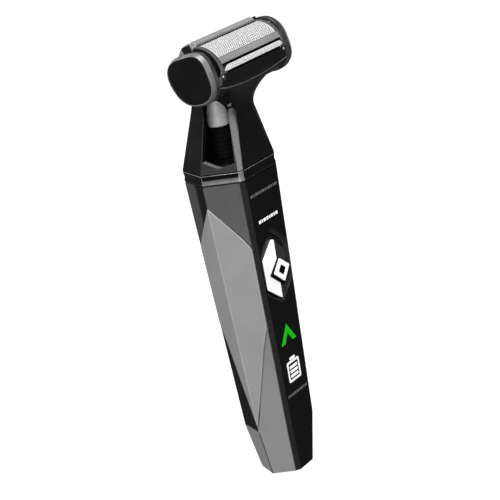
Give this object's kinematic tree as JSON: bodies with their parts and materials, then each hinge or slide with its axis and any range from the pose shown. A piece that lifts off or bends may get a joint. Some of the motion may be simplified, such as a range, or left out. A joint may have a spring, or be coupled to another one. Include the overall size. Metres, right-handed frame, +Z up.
{
  "type": "body groomer",
  "caption": "Cordless body groomer: six-sided tapering handle with button and grips, narrow windowed neck and a T-shaped foil head with end caps.",
  "frame": {"origin": "middle of the flat underside of the base", "axes": "+Z up the handle towards the head, -Y the front with the button, +X along the head to the right seen from behind"},
  "size_m": [0.055, 0.0373, 0.1876],
  "materials": {
    "gunmetal": "satin gunmetal paint",
    "gloss_black": "polished black",
    "satin_black": "satin black",
    "grip_grey": "soft matt grey",
    "seal_rubber": "matt black",
    "contact_brass": "polished",
    "cell_jacket": "shrink sleeve",
    "spring_steel": "bright",
    "board_green": "solder mask",
    "white_nylon": "moulded",
    "signal_green": "translucent, lit",
    "boss_grey": "semi-gloss grey",
    "rim_grey": "satin metallic grey",
    "frame_grey": "satin grey",
    "foil_steel": "etched foil"
  },
  "bodies": {
    "handle": {"handle_shell": "gunmetal", "front_panel": "gloss_black", "rear_panel": "gloss_black", "left_grip": "grip_grey", "right_grip": "grip_grey", "base_cap": "satin_black", "base_seal": "seal_rubber", "charge_contact_left": "contact_brass", "charge_contact_right": "contact_brass", "collar_ring": "gloss_black", "head_seal": "seal_rubber", "battery_cell": "cell_jacket", "battery_tab_bottom": "spring_steel", "battery_tab_top": "spring_steel", "circuit_board": "board_green", "power_switch": "satin_black", "status_led": "white_nylon", "chassis": "satin_black", "chassis_screw_1": "spring_steel", "chassis_screw_2": "spring_steel", "motor": "spring_steel", "top_bulkhead": "satin_black", "bulkhead_seal": "seal_rubber", "motor_screw_left": "spring_steel", "motor_screw_right": "spring_steel", "light_guide": "signal_green", "button_gasket": "seal_rubber"},
    "button": {"power_button": "satin_black"},
    "motor_rotor": {"motor_shaft": "spring_steel", "drive_crank": "white_nylon"},
    "head": {"head_housing": "gloss_black", "neck_spigot": "satin_black", "rear_guard": "frame_grey", "shaft_boot": "seal_rubber", "shaft_housing": "boss_grey", "lever_pin": "spring_steel", "front_fascia": "satin_black", "fascia_pin_left": "spring_steel", "fascia_pin_right": "spring_steel", "left_end_cap": "satin_black", "right_end_cap": "satin_black", "left_cap_rim": "rim_grey", "right_cap_rim": "rim_grey"},
    "lever": {"drive_lever": "white_nylon"},
    "cutters": {"cutter_carrier": "white_nylon", "main_cutter": "spring_steel", "trimmer_cutter": "spring_steel"},
    "cassette": {"foil_frame": "frame_grey", "main_foil": "foil_steel", "foil_band": "rim_grey", "trimmer_foil": "foil_steel"}
  },
  "joints": [
    {"name": "button_press", "type": "slide", "parent": "handle", "child": "button", "axis": [0, 1, 0], "range_m": [0, 0.0005], "stiffness_N_per_m": 1500, "springref_m": -0.0005},
    {"name": "motor_spin", "type": "hinge", "parent": "handle", "child": "motor_rotor", "pos_m": [0, 0.001, 0.1208], "axis": [0, 0, 1], "continuous": true},
    {"name": "head_lift", "type": "slide", "parent": "handle", "child": "head", "axis": [0, 0, 1], "range_m": [0, 0.025]},
    {"name": "lever_rock", "type": "hinge", "parent": "head", "child": "lever", "pos_m": [0, 0.001, 0.152], "axis": [0, 1, 0], "range_deg": [-3.37, 3.37]},
    {"name": "cutter_slide", "type": "slide", "parent": "head", "child": "cutters", "axis": [1, 0, 0], "range_m": [-0.001, 0.001]},
    {"name": "cassette_lift", "type": "slide", "parent": "head", "child": "cassette", "axis": [0, -0.7071, 0.7071], "range_m": [0, 0.012]}
  ],
  "couplings": [
    {"joint": "cutter_slide", "follows": "lever_rock", "m_per_rad": 0.0169}
  ]
}
